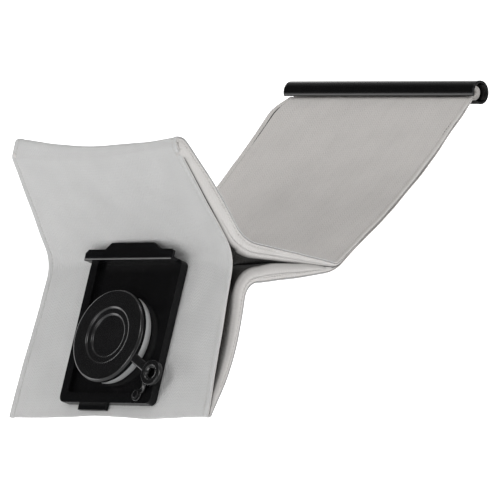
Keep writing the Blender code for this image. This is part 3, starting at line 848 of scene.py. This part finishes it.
def strip_row(name, side, i, wide, turn, sunk):
    """A row of a side strip: wall, turn and wing; its UVs, which also place its painted fold shade; and a point on
    the line of stitches.
    """
    s, edge, out = S[i], ROWS[i, EDGE[side]], np.array([float(side), 0.0, 0.0])
    inward = unit(NORMALS[i, EDGE[side]] * (0, -1, -1))
    lower = name.startswith("lower")
    # dark: how much painted fold shade the strip takes; on the upper strips it fades out near the top edge
    dark = smooth_step((mark("top_back") - 0.006 - s) / 0.008) if name.startswith("upper") else 1.0
    start = edge + inward * (CLOTH + 0.0002 + sunk) - out * (0.0003 + sunk)
    row, across = wall_row(start, inward, out, wide, lower)

    base = row[-1]
    # The turn steps the strip's coordinate into the painted fold shade, and the wing takes it on, darker towards
    # the inner fold.
    light = max(across[-1], WING_START) if lower else WING_START
    for k in range(1, TURN_STEPS + 1):
        a = math.pi / 2 * k / TURN_STEPS
        row.append(base + inward * turn * math.sin(a) - out * turn * (1 - math.cos(a)))
        rise = WING_START + edge_shade(name, s) * dark - light
        across.append(light + rise * (k / TURN_STEPS) ** 2)

    goal, so_far = spine(side, s), across[-1]
    deep = abs(goal[0] - edge[0])
    first_off = row[-1] - layer_point(side, s, turn)
    last_off = goal - layer_point(side, s, deep)
    # The lower wings' painted shade is held short of black, but for the rows near the lower crease.
    painted_shade_cap = 0.0005 + 0.004 * smooth_step((s - mark("lower_crease") + 0.012) / 0.012)
    for k in range(1, WING_STEPS + 1):
        t = k / WING_STEPS
        on_layer = layer_point(side, s, turn + (deep - turn) * t)
        row.append(on_layer + first_off * (1 - t) + last_off * t)
        across.append(so_far + (min(deep * t, painted_shade_cap) if lower else deep * t * dark))
    return row, [(d + end_shade(s), s) for d in across], start + inward * SEAM_IN + out * 0.0005


def side_strip(name, first, last, side, how, nodes, width=None, under=0):
    """A side strip from row first to last; its last rows slip under the next strip."""
    points, uv, seam_path = [], [], []
    for i in range(first, last + 1):
        wide, turn = wall_width(side, S[i]) if width is None else (width, width * 0.3)
        tucked = max(0, i - (last - under)) / max(under, 1)
        wide, turn = wide * (1 - 0.6 * tucked), turn * (1 - 0.6 * tucked)
        sunk = 0.0003 if i == first and name.startswith("upper") else 0.0004 * tucked
        row, places, seam = strip_row(name, side, i, wide, turn, sunk)
        points.append(row)
        uv.append(places)
        if wide > STITCHED:
            seam_path.append(seam)
    points = np.array(points)
    piece = grid_object(name, points, np.array(uv), SIDE_CLOTH, flip=side == LEFT)
    solidify(piece, CLOTH * 0.8)
    settle(piece, how, "gusset", *nodes)
    threads = []
    if len(seam_path) > 4:
        outs = np.tile((float(side), 0.0, 0.0), (len(seam_path), 1))
        threads = [stitches(f"{name}_stitches", np.array(seam_path), outs, how)]


def side_strips():
    crease, end = MARKS["upper_crease"], len(ROWS) - 1
    plan = (  # name, first and last row, how it follows, the CAD nodes it takes the place of, and more
        ("upper_side", crease, TOP, "pocket_fold", ("upper_gusset", "upper_seam"), {}),
        ("neck_side", NECK_JOIN, crease + 3, "neck", ("neck_gusset", "neck_seam_top"), {"under": 3}),
        ("lower_side", BOTTOM, UNDER_JOIN, "neck_fold",
         ("lower_gusset", "lower_seam", "neck_seam_bottom"), {}),
        ("front_side", TOP, BOTTOM, "pocket_fold", (), {"width": 0.0010}),
        ("tail_side_front", 0, NECK_JOIN, "tail_fold", ("tail_gusset", "tail_seam_front"), {}),
        ("tail_side_back", UNDER_JOIN, end, "tail_fold", ("tail_seam_back",), {}),
    )
    for side, hand in SIDES:
        for name, first, last, how, nodes, more in plan:
            nodes = [f"{node_name}_{hand}" for node_name in nodes]
            side_strip(f"{name}_{hand}", first, last, side, how, nodes, **more)


# The tail's rolled end and the closing rail

RAIL_RIGHT_END, RAIL_LEFT_END = end_of("tail_bead", RIGHT), end_of("tail_bead", LEFT)
RAIL_WAY = unit(RAIL_RIGHT_END - RAIL_LEFT_END)


def rail_frame():
    """Unit vectors across the rail: towards its slot, and square to that."""
    toward = coordinates("closing_rail").mean(0) - (RAIL_RIGHT_END + RAIL_LEFT_END) / 2
    toward[0] = 0.0
    slot = -unit(toward)
    return slot, unit(np.cross(RAIL_WAY, slot))


SLOT_WAY, RAIL_SIDE = rail_frame()


def extruded(name, section, x_values, made_of, closed=True):
    """A section in (towards the slot, square to it) carried along the rail's line."""
    vertices, uv = [], []
    lengths = np.concatenate([[0], np.cumsum(np.linalg.norm(np.diff(section, axis=0), axis=1))])
    for x in x_values:
        share = (x - RAIL_LEFT_END[0]) / (RAIL_RIGHT_END[0] - RAIL_LEFT_END[0])
        centre = RAIL_LEFT_END + (RAIL_RIGHT_END - RAIL_LEFT_END) * share
        for (a, b), d in zip(section, lengths):
            vertices.append(centre + SLOT_WAY * a + RAIL_SIDE * b)
            uv.append((x, d))
    faces = tube_faces(len(x_values), len(section), closed=closed)
    return mesh_object(name, vertices, faces, made_of, np.array(uv))


def rolled_end():
    """The tail's end, rolled up inside the rail."""
    turns, outer, steps = 2.3, 0.0063, 90
    section = []
    for i in range(steps + 1):
        t = i / steps
        a = 2 * math.pi * turns * t
        r = outer - 0.0017 * turns * t + 0.0002 * math.sin(3 * a)
        section.append((r * math.cos(a), r * math.sin(a)))
    x_values = np.linspace(RAIL_LEFT_END[0] + 0.002, RAIL_RIGHT_END[0] - 0.0022, 60)
    piece = extruded("tail_roll", np.array(section), x_values, TAIL_CLOTH, closed=False)
    solidify(piece, 0.0009, 0.0)
    settle(piece, "tail", "cloth", "tail_bead")


def lip(a, outer, thick, way):
    """Half a circle round the section's end at angle a; way is 1 from outside in, -1 back out."""
    radial, onward = np.array([math.cos(a), math.sin(a)]), np.array([-math.sin(a), math.cos(a)])
    turns = [math.pi * k / 6 for k in range(1, 6)]
    centre = radial * (outer - thick / 2)
    return [tuple(centre + (radial * math.cos(b) + onward * math.sin(b)) * way * thick / 2) for b in turns]


def closing_rail():
    """An open C section with rounded lips and softened ends."""
    low, high = reach("closing_rail", RAIL_SIDE)
    outer, thick = (high - low) / 2, 0.0021
    half, steps = math.radians(28.0), 56  # half the slot's angle
    angles = [half + (2 * math.pi - 2 * half) * i / steps for i in range(steps + 1)]
    section = [(outer * math.cos(a), outer * math.sin(a)) for a in angles]
    section += lip(angles[-1], outer, thick, 1)
    section += [((outer - thick) * math.cos(a), (outer - thick) * math.sin(a)) for a in reversed(angles)]
    section += lip(angles[0], outer, thick, -1)
    x_values = np.linspace(*reach("closing_rail", PLATE_X), 12)
    piece = extruded("closing_rail_section", np.array(section), x_values, RAIL_PLASTIC)
    bevelled(piece, 0.0006, 60.0)
    piece.data.set_sharp_from_angle(angle=math.radians(50))
    settle(piece, "rail", "rail_plastic", "closing_rail")


# Collar pieces


def plate_object(name, bm, made_of, sharp=35.0):
    mesh = bpy.data.meshes.new(name)
    bmesh.ops.recalc_face_normals(bm, faces=bm.faces)
    bm.to_mesh(mesh)
    bm.free()
    mesh.transform(PLATE_MATRIX)
    mesh.shade_smooth()
    mesh.set_sharp_from_angle(angle=math.radians(sharp))
    mesh.materials.append(made_of)
    return placed(name, mesh)


def rounded_profile(corners, steps=4):
    """A profile of (radius, n) from corners of (radius, n, how far it is rounded to both sides)."""
    points, out = [np.array(c[:2], float) for c in corners], []
    for i, p in enumerate(points):
        r = corners[i][2]
        if r == 0:
            out.append(tuple(p))
            continue
        start, end = p + unit(points[i - 1] - p) * r, p + unit(points[i + 1] - p) * r
        for k in range(steps + 1):
            t = k / steps
            out.append(tuple(start * (1 - t) ** 2 + p * 2 * t * (1 - t) + end * t**2))
    return out


def turned(name, profile, made_of, sides=144, at=(0.0, 0.0), closed=False):
    """A profile of (radius, n) turned round an axis along n."""
    bm = bmesh.new()
    rings = []
    for radius, n in profile:
        if radius < 1e-6:
            rings.append([bm.verts.new((at[0], at[1], n))])
            continue
        ring = []
        for i in range(sides):
            a = 2 * math.pi * i / sides
            ring.append(bm.verts.new((at[0] + radius * math.cos(a), at[1] + radius * math.sin(a), n)))
        rings.append(ring)
    pairs = list(zip(rings, rings[1:])) + ([(rings[-1], rings[0])] if closed else [])
    for one, two in pairs:
        for i in range(sides):
            k = (i + 1) % sides
            corners = [one[i % len(one)], one[k % len(one)], two[k % len(two)], two[i % len(two)]]
            bm.faces.new(list(dict.fromkeys(corners)))
    return plate_object(name, bm, made_of)


def rim_reach(node):
    """Greatest distance of a node's vertices from the port's axis."""
    co = coordinates(node)
    return float(np.linalg.norm(co - np.outer(co @ PLATE_N, PLATE_N), axis=1).max())


CAP_R = rim_reach("port_cap")
CAP_LOW, CAP_TOP = reach("port_cap", PLATE_N)
SEAL_R = rim_reach("seal_ring")
SEAL_LOW, SEAL_TOP = reach("seal_ring", PLATE_N)


def port_cap():
    """Lid with a centre hollowed in two steps, a skirt over the seal, and a plug."""
    face = CAP_TOP - 0.0009
    skirt, plug = face - 0.0048, 0.0262
    rim = SEAL_R + 0.0004
    corners = [
        (0.0, face - 0.0021, 0), (0.0172, face - 0.0021, 0.0007), (0.0187, face - 0.0010, 0.0006),
        (0.0226, face - 0.0010, 0.0007), (0.0241, face, 0.0006), (CAP_R - 0.0018, face, 0.0010),
        (CAP_R, face - 0.0014, 0.0007), (CAP_R, skirt, 0.0005), (rim, skirt, 0.0003),
        (rim, face - 0.0025, 0.0003), (plug, face - 0.0025, 0.0003), (plug, CAP_LOW, 0.0004),
        (plug - 0.002, CAP_LOW, 0.0004), (plug - 0.002, face - 0.0036, 0.0004), (0.0, face - 0.0036, 0),
    ]
    piece = turned("cap_lid", rounded_profile(corners), CAP_PLASTIC)
    settle(piece, "cap", "cap_plastic", "port_cap")


def seal_ring():
    """Soft grey ring with a rounded shoulder and a lip that presses on the plug."""
    spigot, inner = 0.0315, 0.0270
    corners = [
        (spigot, SEAL_LOW, 0), (SEAL_R, SEAL_LOW, 0.0004), (SEAL_R, SEAL_TOP, 0.0012),
        (inner, SEAL_TOP, 0.0004), (inner, SEAL_TOP - 0.0015, 0.0004),
        (spigot, SEAL_TOP - 0.0025, 0.0004), (spigot, SEAL_LOW + 0.0005, 0),
    ]
    piece = turned("port_seal", rounded_profile(corners), SEAL_RUBBER, closed=True)
    settle(piece, "collar", "seal", "seal_ring")


def plate_point(p):
    """(x, v, n) of a point in the bag's frame."""
    return np.array([p @ PLATE_X, p @ PLATE_V, p @ PLATE_N])


def middle_of(node):
    co = coordinates(node)
    return (co.min(0) + co.max(0)) / 2


RING_R = 0.0105
RING_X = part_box("pull_ring")[1].x - RING_R
RING_V = reach("pull_ring", PLATE_V)[0] + RING_R
RING_LOW = reach("pull_ring", PLATE_N)[0]
RING_HIGH = RING_LOW + 0.004
POST_AT = plate_point(middle_of("tether_post"))
STRAP_LOW = reach("tether_strap", PLATE_N)[0]


def swept(name, path, section, made_of):
    """A closed section of (across, n) carried along a path of (x, v, n)."""
    bm = bmesh.new()
    path = np.array(path, float)
    ways = unit(np.gradient(path, axis=0))
    rings = []
    for p, way in zip(path, ways):
        flat = unit(np.array([way[0], way[1], 0.0]))
        across = np.array([-flat[1], flat[0], 0.0])
        rise = unit(np.cross(way, across)) * np.sign(np.cross(way, across)[2])
        rings.append([bm.verts.new(tuple(p + across * a + rise * b)) for a, b in section])
    count = len(section)
    for one, two in zip(rings, rings[1:]):
        for i in range(count):
            k = (i + 1) % count
            bm.faces.new((one[i], one[k], two[k], two[i]))
    bm.faces.new(rings[0][::-1])
    bm.faces.new(rings[-1])
    return plate_object(name, bm, made_of, 50.0)


def oval(half_wide, half_high, sides=16, power=0.7):
    """A rounded rectangular section."""
    out = []
    for i in range(sides):
        a = 2 * math.pi * (i + 0.5) / sides
        wide, high = math.cos(a), math.sin(a)
        wide = half_wide * math.copysign(abs(wide) ** power, wide)
        out.append((wide, half_high * math.copysign(abs(high) ** power, high)))
    return out


def pull_ring():
    """Finger ring with a rounded section, a counterbored hole and a neck to the cap's skirt."""
    outer, hole, low, high = RING_R, 0.0042, RING_LOW, RING_HIGH
    corners = [
        (hole, low + 0.0006, 0), (hole, high - 0.0012, 0.0003), (hole + 0.0014, high - 0.0009, 0.0003),
        (hole + 0.0022, high, 0.0004), (outer - 0.0006, high, 0.0004), (outer, high - 0.0008, 0.0006),
        (outer, low + 0.0006, 0.0006), (outer - 0.0006, low, 0.0004), (hole + 0.0008, low, 0.0004),
        (hole, low + 0.0005, 0),
    ]
    ring = turned("finger_ring", rounded_profile(corners, 3), CAP_PLASTIC, 72, (RING_X, RING_V), True)
    settle(ring, "cap", "cap_plastic", "pull_ring")
    toward = -unit(np.array([RING_X, RING_V]))
    start = np.array([RING_X, RING_V]) + toward * (outer - 0.0025)
    end = -toward * (CAP_R - 0.0006)
    height = (RING_HIGH + RING_LOW) / 2 + 0.0006
    path = [(*(start + (end - start) * t), height + 0.0008 * t) for t in np.linspace(0, 1, 9)]
    section = oval(0.0040, 0.0013)
    neck = swept("ring_neck", path, section, CAP_PLASTIC)
    settle(neck, "cap", "cap_plastic")


def tether():
    """Flat strap that curls from the finger ring down to an eye round the post."""
    ring, post = np.array([RING_X, RING_V]), POST_AT[:2]
    toward = unit(post - ring)
    aside = np.array([-toward[1], toward[0]])
    start, end = ring + toward * 0.0092, post - toward * 0.0030
    path = []
    for t in np.linspace(0, 1, 15):
        p = start + (end - start) * t + aside * 0.0016 * math.sin(math.pi * t)
        n = RING_LOW + 0.0014 + (STRAP_LOW + 0.0010 - RING_LOW - 0.0014) * smooth_step(t * 1.3)
        path.append((*p, float(n)))
    strap = swept("tether_band", path, oval(0.0024, 0.0009, 12), CAP_PLASTIC)
    settle(strap, "cap_pull", "cap_plastic", "tether_strap")
    low, high = STRAP_LOW, STRAP_LOW + 0.0019
    corners = [(0.0020, low, 0), (0.0020, high, 0.0004), (0.0050, high, 0.0007), (0.0050, low, 0.0007),
               (0.0020, low, 0)]
    eye = turned("tether_eye", rounded_profile(corners, 3), CAP_PLASTIC, 48, tuple(post))
    settle(eye, "collar", "cap_plastic")
    foot, top = STRAP_LOW - 0.004, reach("tether_post", PLATE_N)[1]
    corners = [(0.0, top, 0), (0.0030, top - 0.0002, 0.0008), (0.0036, top - 0.0012, 0.0004),
               (0.0017, top - 0.0013, 0.0002), (0.0016, foot, 0), (0.0, foot, 0)]
    post_piece = turned("post", rounded_profile(corners, 3), PLATE_PLASTIC, 40, tuple(post))
    settle(post_piece, "collar", "collar_plastic", "tether_post")


def grip_bead():
    """A light grey bead along the lower front edge of the bar across the plate's top: a painted highlight of that
    edge.
    """
    low, high = PLATE_LEFT + 0.0006, PLATE_RIGHT - 0.0046
    front = reach("collar_plate", PLATE_N)[1]
    path = [(x, GRIP_LOW + 0.0012, front - 0.0002) for x in np.linspace(low, high, 24)]
    bead = swept("grip_bead", path, oval(0.0008, 0.0006, 12, 1.0), HIGHLIGHT_EDGE_PLASTIC)
    settle(bead, "collar", "collar_plastic")


def collar():
    """The plate and its backing keep their CAD shapes and get their own plastics."""
    for name, made_of in (("collar_plate", PLATE_PLASTIC), ("backing_plate", INNER_PLASTIC)):
        materials = frame["nodes"][name].data.materials
        materials.clear()
        materials.append(made_of)
    softened(frame["nodes"]["collar_plate"], 0.0008)


# Studio

FLOOR_GLOW, GLOW_FROM, GLOW_RISE, WALL_GLOW = 0.14, 1.6, 0.5, 0.97
WORLD_LIGHT = 0.37
DARK_SIDE, DARK_SHARE = (-0.707, -0.572, 0.416), 0.15  # where the surroundings are darker, and by how much
LIGHTS = (  # name, azimuth, elevation, distance, width, height, watts
    ("low_left_softbox", -50.0, -13.0, 1.3, 0.5, 0.34, 1.6),
    ("front_softbox", -14.0, 8.0, 2.2, 0.6, 0.4, 5.5),
    ("top_front_softbox", -4.0, 32.0, 2.2, 0.5, 0.35, 5.0),
    ("top_softbox", 20.0, 72.0, 2.2, 0.8, 0.8, 7.0),
    ("right_softbox", 84.0, 8.0, 2.2, 0.9, 1.2, 14.0),
    ("back_left_strip", 241.0, 16.0, 2.0, 0.3, 1.0, 8.0),
)


def backdrop():
    """White paper that sweeps up behind the bag and glows more the farther it is."""
    floor_z = CAD_BOX[0].z - FLOOR_BELOW
    profile = [(-9.0, floor_z), (-1.0, floor_z), (5.0, floor_z)]
    for k in range(1, 13):
        a = math.pi / 2 * k / 12
        profile.append((5.0 + 1.5 * math.sin(a), floor_z + 1.5 * (1 - math.cos(a))))
    profile.append((6.5, floor_z + 6.0))
    back = np.array([-math.sin(AZIMUTH), math.cos(AZIMUTH)])
    side = np.array([math.cos(AZIMUTH), math.sin(AZIMUTH)])
    vertices = [(*(back * d + side * w), z) for d, z in profile for w in (-9.0, 9.0)]
    faces = [(2 * i, 2 * i + 1, 2 * i + 3, 2 * i + 2) for i in range(len(profile) - 1)]
    made, tree, shader = material("studio_paper", 0.9)
    place = node(tree, "ShaderNodeTexCoord").outputs["Object"]
    paper = ramp(tree, cloudy(tree, place, 3.0), (0.88, 0.88, 0.88), (0.91, 0.91, 0.91))
    tree.links.new(paper, shader.inputs["Base Color"])
    away = node(tree, "ShaderNodeVectorMath", {0: place}, operation="LENGTH").outputs["Value"]
    glow = maths(tree, "MULTIPLY_ADD", maths(tree, "SUBTRACT", away, GLOW_FROM), GLOW_RISE, FLOOR_GLOW)
    glow = maths(tree, "MINIMUM", maths(tree, "MAXIMUM", glow, FLOOR_GLOW), WALL_GLOW)
    shader.inputs["Emission Color"].default_value = (1.0, 1.0, 1.0, 1.0)
    tree.links.new(glow, shader.inputs["Emission Strength"])
    mesh_object("studio_sweep", vertices, faces, made)


def surroundings():
    """Even light from all round, but for a darker patch that the glossy plate reflects."""
    world = bpy.data.worlds.new("studio")
    world.use_nodes = True
    tree = world.node_tree
    way = node(tree, "ShaderNodeTexCoord").outputs["Generated"]
    toward = node(tree, "ShaderNodeVectorMath", {0: way}, operation="DOT_PRODUCT")
    toward.inputs[1].default_value = DARK_SIDE
    dark = node(tree, "ShaderNodeMapRange", {0: toward.outputs["Value"]})
    for k, value in ((1, 0.70), (2, 0.93), (3, WORLD_LIGHT), (4, WORLD_LIGHT * DARK_SHARE)):
        dark.inputs[k].default_value = value
    tree.nodes["Background"].inputs[0].default_value = (1.0, 1.0, 1.0, 1.0)
    tree.links.new(dark.outputs[0], tree.nodes["Background"].inputs[1])
    bpy.context.scene.world = world


def lamps():
    centre = (CAD_BOX[0] + CAD_BOX[1]) / 2
    for name, azimuth, elevation, distance, wide, tall, watts in LIGHTS:
        data = bpy.data.lights.new(name, "AREA")
        data.shape = "RECTANGLE"
        data.size, data.size_y, data.energy = wide, tall, watts
        lamp = placed(name, data)
        a, e = math.radians(azimuth), math.radians(elevation)
        way = Vector((math.sin(a) * math.cos(e), -math.cos(a) * math.cos(e), math.sin(e)))
        lamp.location = centre + way * distance
        lamp.rotation_euler = way.to_track_quat("Z", "Y").to_euler()
        lamp.visible_camera = False


def camera():
    data = bpy.data.cameras.new("camera")
    data.lens, data.sensor_width = LENS, SENSOR
    data.clip_start, data.clip_end = 0.1, 50.0
    a, e = AZIMUTH, ELEVATION
    back = Vector((math.sin(a) * math.cos(e), -math.cos(a) * math.cos(e), math.sin(e)))
    right = Vector((math.cos(a), math.sin(a), 0.0))
    obj = placed("camera", data)
    obj.location = right * AIM_RIGHT + back.cross(right) * AIM_UP + back * DISTANCE
    obj.rotation_euler = back.to_track_quat("Z", "Y").to_euler()
    bpy.context.scene.camera = obj


bpy.context.scene.view_settings.view_transform = "Standard"
camera()
backdrop()
surroundings()
lamps()
cloth_sheets()
side_strips()
rolled_end()
closing_rail()
port_cap()
seal_ring()
pull_ring()
tether()
collar()
grip_bead()
